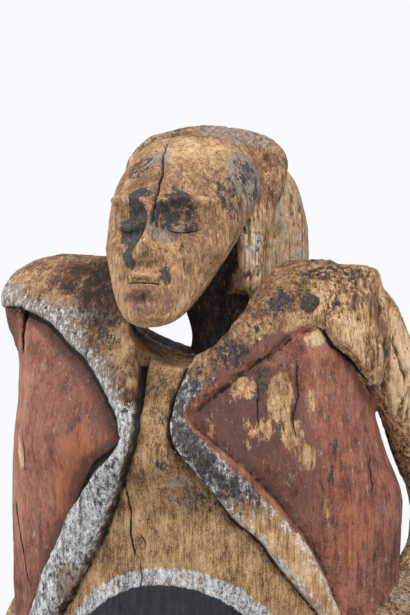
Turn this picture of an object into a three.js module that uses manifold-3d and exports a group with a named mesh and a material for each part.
// Ancestor figure: a standing figure carved from one log. It has a bowed, hooded head on a slender neck,
// heavy shoulders with a deep notch between them, raised bands that meet at the breastbone and run round
// the belly, arms drawn back with the hands laid on the belly, bent legs and a low round base.
// Millimetres, +Z up. The figure faces -Y, its own left side is +X, and the origin is the centre of the
// base's underside.
import * as THREE from "three";
import { mergeVertices } from "three/addons/utils/BufferGeometryUtils.js";
import Module from "manifold-3d";

const wasm = await Module();
wasm.setup();

// The log that it was cut from, and the heights of its main features.
const BASE_HEIGHT = 62;
const BASE_HALF_WIDTH = 186;
const BASE_HALF_DEPTH = 158;
const TORSO_BOTTOM = 380;

// The raised bands and the grooves beside them.
const BAND_RELIEF = 8;
const PANEL_RECESS = 3;
const GROOVE_DEPTH = 9;
const FIELD_RECESS = 5;
const WALL_WIDTH = 5;
const HEM_FADE = 50;

// A smooth line through [place, value] pairs, which is level where the values turn. Past its ends it
// keeps the end values.
function through(pairs) {
  const rise = (i) => (pairs[i + 1][1] - pairs[i][1]) / (pairs[i + 1][0] - pairs[i][0]);
  const last = pairs.length - 1;
  const slopes = pairs.map((_, i) => {
    if (i === 0) return rise(0);
    if (i === last) return rise(last - 1);
    const [before, after] = [rise(i - 1), rise(i)];
    return before * after <= 0 ? 0 : (2 * before * after) / (before + after);
  });
  return (place) => {
    const at = THREE.MathUtils.clamp(place, pairs[0][0], pairs[last][0]);
    let i = 0;
    while (i < last - 1 && at > pairs[i + 1][0]) i++;
    const span = pairs[i + 1][0] - pairs[i][0];
    const s = (at - pairs[i][0]) / span;
    const [a, b] = [pairs[i][1], pairs[i + 1][1]];
    return (
      a * (1 + 2 * s) * (1 - s) ** 2 +
      b * s * s * (3 - 2 * s) +
      span * (slopes[i] * s * (1 - s) ** 2 - slopes[i + 1] * s * s * (1 - s))
    );
  };
}

// Straight runs through [place, value] pairs, for lines that meet at a point.
function straight(pairs) {
  const last = pairs.length - 1;
  return (place) => {
    const at = THREE.MathUtils.clamp(place, pairs[0][0], pairs[last][0]);
    let i = 0;
    while (i < last - 1 && at > pairs[i + 1][0]) i++;
    return THREE.MathUtils.mapLinear(at, pairs[i][0], pairs[i + 1][0], pairs[i][1], pairs[i + 1][1]);
  };
}

// A geometry with its shared vertices merged, as a solid that can be cut and joined.
function solid(geometry) {
  geometry.deleteAttribute("normal");
  geometry.deleteAttribute("uv");
  const merged = mergeVertices(geometry, 1e-3);
  return new wasm.Manifold(
    new wasm.Mesh({
      numProp: 3,
      vertProperties: new Float32Array(merged.getAttribute("position").array),
      triVerts: new Uint32Array(merged.index.array),
    }),
  );
}

// A sphere's grid with each vertex moved to place(u, v): u runs once round, counter-clockwise seen from
// the end where v is 0, and v runs from that end to the other.
function skin(columns, rows, place) {
  const sphere = new THREE.SphereGeometry(1, columns, rows);
  const position = sphere.getAttribute("position");
  for (let j = 0, n = 0; j <= rows; j++)
    for (let i = 0; i <= columns; i++, n++) position.setXYZ(n, ...place(i / columns, j / rows));
  return solid(sphere);
}

// A block whose level sections are rounded outlines. Each station is [height, X of the middle, half
// width, Y of the front, Y of the back, Y where it is widest].
function block(stations, frontRoundness, backRoundness) {
  const column = (k) => through(stations.map((s) => [s[0], s[k]]));
  const [middle, halfWidth, front, back, widest] = [1, 2, 3, 4, 5].map(column);
  const point = (angle, z) => {
    const [across, along] = [Math.sin(angle), Math.cos(angle)];
    const power = 2 / (along > 0 ? frontRoundness : backRoundness);
    const reach = (along > 0 ? front(z) : back(z)) - widest(z);
    return new THREE.Vector3(
      middle(z) + halfWidth(z) * Math.sign(across) * Math.abs(across) ** power,
      widest(z) + reach * Math.abs(along) ** power,
      z,
    );
  };
  const outward = (angle, z) => {
    const [turn, lift] = [0.02, 2];
    const around = point(angle + turn, z).sub(point(angle - turn, z));
    const upward = point(angle, z + lift).sub(point(angle, z - lift));
    return around.cross(upward).normalize();
  };
  const angleAt = (x, z) => {
    const share = (x - middle(z)) / halfWidth(z);
    return Math.sign(share) * Math.asin(Math.min(1, Math.abs(share) ** (frontRoundness / 2)));
  };
  const moved = (angle, z, relief) => point(angle, z).addScaledVector(outward(angle, z), relief);
  return { point, moved, angleAt, halfWidth };
}

// A plain block as a solid: levels are its rings from top to bottom, and its ends are flat.
function blockSolid(shape, columns, levels) {
  const rows = levels.length + 1;
  return skin(columns, rows, (u, v) => {
    const j = Math.round(v * rows);
    const z = levels[THREE.MathUtils.clamp(j - 1, 0, levels.length - 1)];
    const angle = (2 * u - 1) * Math.PI;
    if (j === 0 || j === rows) {
      const middle = shape.point(0, z).add(shape.point(Math.PI, z)).multiplyScalar(0.5);
      return [middle.x, middle.y, z];
    }
    return shape.point(angle, z).toArray();
  });
}

// A limb along a curve. Each station is [x, y, z, radius across, radius along the reference direction].
function limb(stations, columns, rows, reference = new THREE.Vector3(0, 1, 0)) {
  const curve = new THREE.CatmullRomCurve3(stations.map((s) => new THREE.Vector3(s[0], s[1], s[2])));
  const [across, along] = [3, 4].map((k) => through(stations.map((s, i) => [i, s[k]])));
  return skin(columns, rows, (u, v) => {
    const centre = curve.getPoint(v);
    if (v === 0 || v === 1) return centre.toArray();
    const end = curve.getTangent(v).negate();
    const side = reference.clone().cross(end).normalize();
    const other = end.clone().cross(side);
    const place = v * (stations.length - 1);
    const angle = 2 * Math.PI * u;
    return centre
      .addScaledVector(side, across(place) * Math.cos(angle))
      .addScaledVector(other, along(place) * Math.sin(angle))
      .toArray();
  });
}

const mirrored = (stations) => stations.map(([x, ...rest]) => [-x, ...rest]);

// The trunk. The chest stands forward as a keel, and the belly swells again below it.
const TRUNK = block(
  [
    [TORSO_BOTTOM, -3, 114, -62, 78, 8],
    [430, -4, 162, -88, 104, 8],
    [500, -5, 187, -104, 116, 10],
    [586, -5, 200, -112, 120, 12],
    [690, -5, 203, -105, 124, 14],
    [790, -4, 206, -106, 128, 16],
    [850, -9, 193, -125, 126, 8],
    [885, -10, 186, -115, 122, 2],
    [920, -10, 184, -99, 120, -4],
    [960, -9, 190, -76, 114, -10],
    [990, -8, 194, -52, 96, -14],
    [1006, -8, 188, -36, 74, -8],
    [1020, -8, 171, -12, 50, 6],
    [1027, -8, 142, 4, 34, 14],
  ],
  1.9,
  2.2,
);

// Each side of the front, as [height, X]: the inner edge of the raised band, the edge where the band and
// the shoulder strap stand over the sunk field, and the height where the strap's edge reaches the side.
const RIGHT_SIDE = {
  inner: through([
    [400, -24],
    [440, -68],
    [500, -118],
    [586, -150],
    [640, -138],
    [680, -120],
    [709, -100],
    [727, -90],
    [742, -81],
    [757, -72],
    [771, -65],
    [786, -58],
    [801, -51],
    [815, -43],
    [830, -36],
    [845, -30],
    [872, -25],
    [890, -26],
    [926, -28],
  ]),
  outer: straight([
    [400, -62],
    [440, -104],
    [500, -154],
    [586, -184],
    [640, -174],
    [673, -158],
    [699, -146],
    [724, -136],
    [745, -124],
    [769, -111],
    [791, -98],
    [811, -83],
    [830, -68],
    [844, -51],
    [855, -41],
    [862, -37],
    [880, -43],
    [900, -57],
    [914, -69],
    [925, -80],
    [938, -95],
    [946, -109],
    [958, -126],
    [968, -141],
    [976, -168],
    [980, -186],
  ]),
  strapEnd: 980,
};
const LEFT_SIDE = {
  inner: through([
    [400, 28],
    [440, 74],
    [500, 128],
    [586, 162],
    [640, 160],
    [680, 150],
    [696, 143],
    [716, 129],
    [741, 110],
    [767, 92],
    [789, 68],
    [816, 50],
    [841, 34],
    [858, 19],
    [876, 12],
    [899, 13],
    [918, 19],
    [933, 22],
  ]),
  outer: straight([
    [400, 66],
    [440, 108],
    [500, 158],
    [586, 184],
    [640, 178],
    [693, 163],
    [723, 154],
    [741, 148],
    [757, 140],
    [774, 131],
    [788, 121],
    [811, 104],
    [837, 84],
    [853, 67],
    [868, 48],
    [876, 37],
    [886, 30],
    [892, 36],
    [900, 43],
    [909, 54],
    [918, 64],
    [927, 72],
    [934, 81],
    [948, 101],
    [960, 114],
    [970, 132],
  ]),
  strapEnd: 970,
};

// The trunk's rings, closer together where the bands turn, and the columns of one side, which follow the
// edges of the panel, the band and the field.
const TRUNK_LEVELS = [
  1027, 1022, 1012, 1000, 989, 982, 978, 971, 968, 956, 944, 932, 919, 907, 896, 886, 874, 862, 850, 836,
  820, 803, 785, 765, 742, 715, 688, 655, 622, 586, 545, 505, 470, 442, 420, 402, 388, TORSO_BOTTOM,
];
const TRUNK_END_X = -4;
const TRUNK_END_Y = 20;
const GROOVE_WIDTH = 4;
const FIELD_COLUMNS = [0, 0.22, 0.48, 0.75, 1];
const BACK_COLUMNS = [0.2, 0.4, 0.6, 0.8, 1];

// The columns of the trunk from the midline to one side and round to the back, at a height. Each is an
// angle from the front and a relief.
function trunkColumns(side, z) {
  const away = side === RIGHT_SIDE ? -1 : 1;
  const step = WALL_WIDTH / TRUNK.halfWidth(z);
  const groove = GROOVE_WIDTH / TRUNK.halfWidth(z);
  const middle = TRUNK.angleAt(0, z) * away;
  const inner = TRUNK.angleAt(side.inner(z), z) * away;
  const outer = Math.max(TRUNK.angleAt(side.outer(z), z) * away, inner + 3 * step);
  const raised = z > side.strapEnd;
  const fade = THREE.MathUtils.smoothstep(z, TORSO_BOTTOM, TORSO_BOTTOM + HEM_FADE);
  const columns = [
    [middle, -PANEL_RECESS],
    [(middle + inner) / 2, -PANEL_RECESS],
    [inner - groove, -PANEL_RECESS],
    [inner, -GROOVE_DEPTH],
    [inner + step, BAND_RELIEF],
    [(inner + outer) / 2, BAND_RELIEF],
    [outer - step, BAND_RELIEF],
    ...FIELD_COLUMNS.map((s) => [
      THREE.MathUtils.lerp(outer, Math.PI / 2, s),
      raised ? BAND_RELIEF * (away < 0 ? 1 : 1 - s) : -FIELD_RECESS * (1 - s),
    ]),
    ...BACK_COLUMNS.map((s) => [(Math.PI / 2) * (1 + s), raised && away < 0 ? BAND_RELIEF * (1 - s) : 0]),
  ];
  return columns.map(([angle, relief]) => [angle, relief * fade]);
}

function trunk() {
  const rows = TRUNK_LEVELS.length + 1;
  const aSide = trunkColumns(LEFT_SIDE, TRUNK_LEVELS[0]).length - 1;
  const rings = TRUNK_LEVELS.map((z) => [trunkColumns(RIGHT_SIDE, z), trunkColumns(LEFT_SIDE, z)]);
  return skin(2 * aSide, rows, (u, v) => {
    const j = Math.round(v * rows);
    const ring = THREE.MathUtils.clamp(j - 1, 0, TRUNK_LEVELS.length - 1);
    const z = TRUNK_LEVELS[ring];
    if (j === 0 || j === rows) return [TRUNK_END_X, TRUNK_END_Y, z];
    const i = Math.round(u * 2 * aSide) - aSide;
    const [angle, relief] = rings[ring][i < 0 ? 0 : 1][Math.abs(i)];
    return TRUNK.moved(i < 0 ? -angle : angle, z, relief).toArray();
  });
}

// The notch between the shoulders, seen from the front. From NOTCH_START it widens towards the back, by
// its spread for each millimetre, and more at its walls than along its floor.
const NOTCH_START = -75;
const NOTCH_STEP = 80;
const NOTCH_STEPS = 4;
const NOTCH_MIDDLE = 5;
const NOTCH_SPREAD = 0.38;
const NOTCH_FLOOR_SPREAD = 0.27;
const NOTCH_FLOOR = 935;
const NOTCH_WALLS = 959;
const NOTCH_OUTLINE = [
  [-56, 1060],
  [-48, 992],
  [-42, 961],
  [-32, 950],
  [-20, 941],
  [-8, 933],
  [8, 930],
  [22, 933],
  [28, 942],
  [42, 950],
  [54, 964],
  [59, 980],
  [61, 1000],
  [60, 1060],
];

function notch() {
  const outline = new THREE.Shape(NOTCH_OUTLINE.map(([x, z]) => new THREE.Vector2(x, z)));
  const depth = NOTCH_STEP * NOTCH_STEPS;
  const cut = new THREE.ExtrudeGeometry(outline, { depth, steps: NOTCH_STEPS, bevelEnabled: false });
  cut.rotateX(Math.PI / 2).translate(0, NOTCH_START - NOTCH_STEP + depth, 0);
  const position = cut.getAttribute("position");
  for (let n = 0; n < position.count; n++) {
    const z = THREE.MathUtils.clamp(position.getZ(n), NOTCH_FLOOR, NOTCH_WALLS);
    const spread = THREE.MathUtils.mapLinear(z, NOTCH_FLOOR, NOTCH_WALLS, NOTCH_FLOOR_SPREAD, NOTCH_SPREAD);
    const shift = spread * Math.max(0, position.getY(n) - NOTCH_START);
    position.setX(n, position.getX(n) + Math.sign(position.getX(n) - NOTCH_MIDDLE) * shift);
  }
  return solid(cut);
}

// The mass of the upper arm where it comes over the left shoulder and ends in a point beside the field.
const SHOULDER_LOBE = block(
  [
    [903, 183, 4, -14, 8, 0],
    [917, 182, 10, -28, 17, 0],
    [942, 175, 19, -46, 34, 0],
    [960, 164, 26, -55, 46, 0],
    [975, 153, 34, -57, 52, 0],
    [990, 143, 42, -51, 56, 2],
    [1003, 137, 48, -42, 56, 4],
    [1014, 133, 51, -32, 50, 6],
    [1022, 130, 51, -20, 42, 8],
    [1027, 126, 46, -8, 34, 12],
  ],
  1.8,
  2,
);
const LOBE_LEVELS = [1027, 1022, 1014, 1003, 990, 975, 960, 942, 930, 917, 903];

// The arms, from inside the shoulder back to the elbow and forward to the wrist.
const LEFT_ARM = [
  [158, 14, 1000, 22, 26],
  [172, 23, 977, 25, 29],
  [180, 36, 952, 26, 30],
  [190, 46, 915, 26, 29],
  [196, 56, 885, 26, 28],
  [198, 72, 858, 25, 27],
  [201, 92, 832, 25, 27],
  [207, 116, 803, 25, 27],
  [208, 134, 770, 25, 27],
  [206, 134, 740, 25, 27],
  [206, 104, 720, 25, 27],
  [206, 66, 706, 24, 26],
  [204, 28, 690, 23, 25],
  [197, -14, 670, 21, 23],
  [182, -56, 646, 17, 19],
  [166, -82, 628, 12, 16],
];
const RIGHT_ARM = [
  [-168, 0, 1000, 18, 24],
  [-187, 4, 980, 23, 28],
  [-190, 26, 952, 24, 29],
  [-190, 56, 922, 24, 28],
  [-188, 88, 886, 24, 28],
  [-188, 116, 845, 24, 27],
  [-190, 134, 800, 24, 26],
  [-193, 142, 752, 24, 26],
  [-196, 134, 708, 25, 27],
  [-200, 98, 676, 24, 26],
  [-202, 52, 660, 23, 25],
  [-196, 4, 646, 21, 22],
  [-180, -48, 628, 17, 18],
  [-162, -78, 616, 12, 16],
];

// A hand laid flat on the belly. Its palm and four fingers point inwards and a little down.
const PALM = [
  [178, -62, 634, 9, 12],
  [164, -82, 626, 12, 22],
  [146, -96, 618, 13, 27],
  [126, -105, 611, 11, 26],
  [116, -107, 608, 7, 20],
];
const FINGER_COUNT = 4;
const FINGER_PITCH = 12.5;
const FINGER_Z = 610;
const FINGER = [
  [130, -102, 0, 5, 5],
  [122, -109, -1, 8, 6.5],
  [102, -116, -4, 8, 6.5],
  [84, -120, -8, 7, 6],
  [76, -119, -10, 3, 3],
];

function hand(side) {
  const level = new THREE.Vector3(0, 0, 1);
  const placed = (stations) => (side > 0 ? stations : mirrored(stations));
  const fingers = Array.from({ length: FINGER_COUNT }, (_, k) => {
    const z = FINGER_Z + (k - (FINGER_COUNT - 1) / 2) * FINGER_PITCH;
    return limb(placed(FINGER.map(([x, y, drop, a, b]) => [x, y, z + drop, a, b])), 6, 4, level);
  });
  return fingers.reduce((all, finger) => all.add(finger), limb(placed(PALM), 10, 6, level));
}

// The head: a long oval face that tapers to the chin, in front of the hood.
const FACE = block(
  [
    [973, 0, 8, -150, -124, -138],
    [976, 0, 18, -156, -114, -136],
    [984, 0, 29, -161, -98, -130],
    [1000, 0, 40, -160, -78, -118],
    [1020, 0, 50, -152, -54, -104],
    [1045, 0, 60, -142, -26, -84],
    [1072, 0, 68, -132, 4, -62],
    [1100, 0, 71, -116, 40, -30],
    [1126, 0, 65, -92, 60, -4],
    [1143, 0, 53, -64, 62, 6],
    [1152, 0, 38, -38, 56, 10],
    [1157, 0, 18, -10, 40, 16],
  ],
  2,
  2,
);
const FACE_LEVELS = [
  1157, 1152, 1143, 1132, 1120, 1108, 1098, 1091, 1085, 1079, 1073, 1066, 1058, 1050, 1043, 1036, 1029,
  1021, 1014, 1008, 1000, 991, 982, 976, 973,
];

// The face's features, worn soft by weather. Each is a rounded mound or hollow with its place, its half
// width and half height, and how far it stands out.
const FEATURES = [
  { x: 0, z: 1064, wide: 9, high: 26, out: 10 },
  { x: 0, z: 1044, wide: 11, high: 11, out: 12 },
  { x: 28, z: 1090, wide: 26, high: 6, out: 6 },
  { x: 28, z: 1071, wide: 21, high: 13, out: -11 },
  { x: 28, z: 1068, wide: 13, high: 7, out: 9 },
  { x: 44, z: 1044, wide: 17, high: 13, out: 4 },
  { x: 0, z: 1021, wide: 17, high: 5, out: 6 },
  { x: 0, z: 1008, wide: 14, high: 5, out: 6 },
  { x: 0, z: 999, wide: 15, high: 4, out: -4 },
  { x: 0, z: 988, wide: 15, high: 7, out: 5 },
];

function faceRelief(angle, z) {
  if (Math.abs(angle) > Math.PI / 2) return 0;
  const p = FACE.point(angle, z);
  return FEATURES.reduce((sum, f) => {
    const near = (Math.abs(p.x) - f.x) / f.wide;
    const level = (p.z - f.z) / f.high;
    return sum + f.out * Math.exp(-near * near - level * level);
  }, 0);
}

// The columns of the face crowd towards the nose. The middles of its flat ends are at CROWN_Y and CHIN_Y.
const CROWN_Y = 14;
const CHIN_Y = -138;
function face() {
  const rows = FACE_LEVELS.length + 1;
  return skin(28, rows, (u, v) => {
    const j = Math.round(v * rows);
    const z = FACE_LEVELS[THREE.MathUtils.clamp(j - 1, 0, FACE_LEVELS.length - 1)];
    const s = 2 * u - 1;
    const angle = Math.PI * s * (0.5 + 0.5 * s * s);
    if (j === 0) return [0, CROWN_Y, z];
    if (j === rows) return [0, CHIN_Y, z];
    return FACE.moved(angle, z, faceRelief(angle, z)).toArray();
  });
}

// The hood that hangs behind the face down to the shoulders, and the rim along its front edge, which
// runs over the crown and ends each side in a lappet beside the neck.
const HOOD = block(
  [
    [996, 0, 76, 24, 158, 84],
    [1010, 0, 82, 24, 162, 86],
    [1050, 0, 82, 22, 162, 84],
    [1080, 0, 79, 20, 156, 76],
    [1110, 0, 70, 10, 144, 66],
    [1132, 0, 56, 0, 122, 56],
    [1150, 0, 36, 0, 92, 46],
    [1158, 0, 16, 10, 62, 36],
  ],
  2.4,
  2.2,
);
const HOOD_LEVELS = [1158, 1150, 1132, 1110, 1080, 1050, 1010, 996];
const RIM_SIDE = [
  [66, -10, 988, 3, 5],
  [63, -12, 1002, 10, 12],
  [60, -14, 1030, 14, 16],
  [61, -12, 1058, 15, 17],
  [66, -2, 1085, 13, 18],
  [73, 14, 1108, 11, 18],
  [74, 22, 1127, 10, 18],
  [63, 26, 1141, 10, 19],
  [46, 27, 1149, 9, 20],
  [24, 26, 1155, 8, 20],
];

function rim() {
  const stations = [...RIM_SIDE, [0, 24, 1157, 8, 20], ...mirrored(RIM_SIDE).reverse()];
  return limb(stations, 8, 28);
}

// The neck, which flares up into the hood.
const NECK = block(
  [
    [900, 3, 44, 22, 106, 68],
    [925, 2, 35, 26, 110, 70],
    [950, 1, 31, 26, 114, 70],
    [972, 0, 35, 24, 115, 70],
    [996, -1, 41, 20, 116, 70],
    [1045, -1, 50, 6, 120, 66],
  ],
  2.2,
  2.2,
);

// The legs, bent at the knee, and the feet with their toes.
const LEG = [
  [88, 4, 52, 34, 42],
  [87, 8, 92, 34, 38],
  [90, 14, 130, 43, 48],
  [92, 8, 168, 49, 54],
  [93, -14, 206, 45, 49],
  [94, -38, 243, 49, 50],
  [94, -40, 275, 53, 54],
  [92, -26, 330, 61, 64],
  [88, -4, 390, 69, 75],
  [82, 8, 445, 70, 76],
  [72, 10, 490, 50, 60],
];
const FOOT = [
  [88, 58, 68, 4, 6],
  [88, 48, 72, 24, 20],
  [88, 18, 78, 31, 28],
  [90, -24, 74, 34, 26],
  [93, -66, 68, 40, 20],
  [95, -98, 64, 38, 15],
  [96, -108, 62, 24, 8],
];
const TOE_COUNT = 5;
const TOE_PITCH = 14.5;
const TOE_RADIUS = 8;
const TOE_STRETCH = 1.7;
const TOES_X = 95;
const TOES_Y = -106;

function foot(side) {
  const sole = limb(side > 0 ? FOOT : mirrored(FOOT), 12, 10, new THREE.Vector3(0, 0, 1));
  const toes = Array.from({ length: TOE_COUNT }, (_, k) => {
    const across = k - (TOE_COUNT - 1) / 2;
    const toe = new THREE.SphereGeometry(TOE_RADIUS, 6, 4);
    toe.scale(1, TOE_STRETCH, 1);
    toe.translate(side * (TOES_X + across * TOE_PITCH), TOES_Y + 3 * Math.abs(across), BASE_HEIGHT + 4);
    return solid(toe);
  });
  return toes.reduce((all, toe) => all.add(toe), sole);
}

// The low base, a slice of the log with worn edges.
const BASE_PROFILE = [
  [0, 0],
  [0.97, 0],
  [1, 7],
  [1, BASE_HEIGHT - 12],
  [0.965, BASE_HEIGHT - 2],
  [0.93, BASE_HEIGHT],
  [0, BASE_HEIGHT],
];

function base() {
  const turned = new THREE.LatheGeometry(
    BASE_PROFILE.map(([share, z]) => new THREE.Vector2(share, z)),
    32,
  );
  return solid(turned.scale(BASE_HALF_WIDTH, 1, BASE_HALF_DEPTH).rotateX(Math.PI / 2));
}

// Everything that is carved from the log, joined into one solid.
function figure() {
  const shoulders = trunk().subtract(notch());
  const pieces = [
    blockSolid(SHOULDER_LOBE, 14, LOBE_LEVELS),
    limb(LEFT_ARM, 12, 20),
    limb(RIGHT_ARM, 12, 20),
    hand(1),
    hand(-1),
    blockSolid(NECK, 14, [1045, 996, 972, 950, 925, 900]),
    face(),
    blockSolid(HOOD, 20, HOOD_LEVELS),
    rim(),
    limb(LEG, 14, 16),
    limb(mirrored(LEG), 14, 16),
    foot(1),
    foot(-1),
    base(),
  ];
  const joined = pieces.reduce((all, piece) => all.add(piece), shoulders).getMesh();
  const geometry = new THREE.BufferGeometry();
  geometry.setAttribute("position", new THREE.BufferAttribute(new Float32Array(joined.vertProperties), 3));
  geometry.setIndex(new THREE.BufferAttribute(new Uint32Array(joined.triVerts), 1));
  geometry.computeVertexNormals();
  return geometry;
}

const paintedWood = new THREE.MeshStandardMaterial({ color: 0x9a6a44, roughness: 0.85, metalness: 0 });
const statue = new THREE.Mesh(figure(), paintedWood);
statue.name = "figure";

const root = new THREE.Group();
root.add(statue);
export default root;
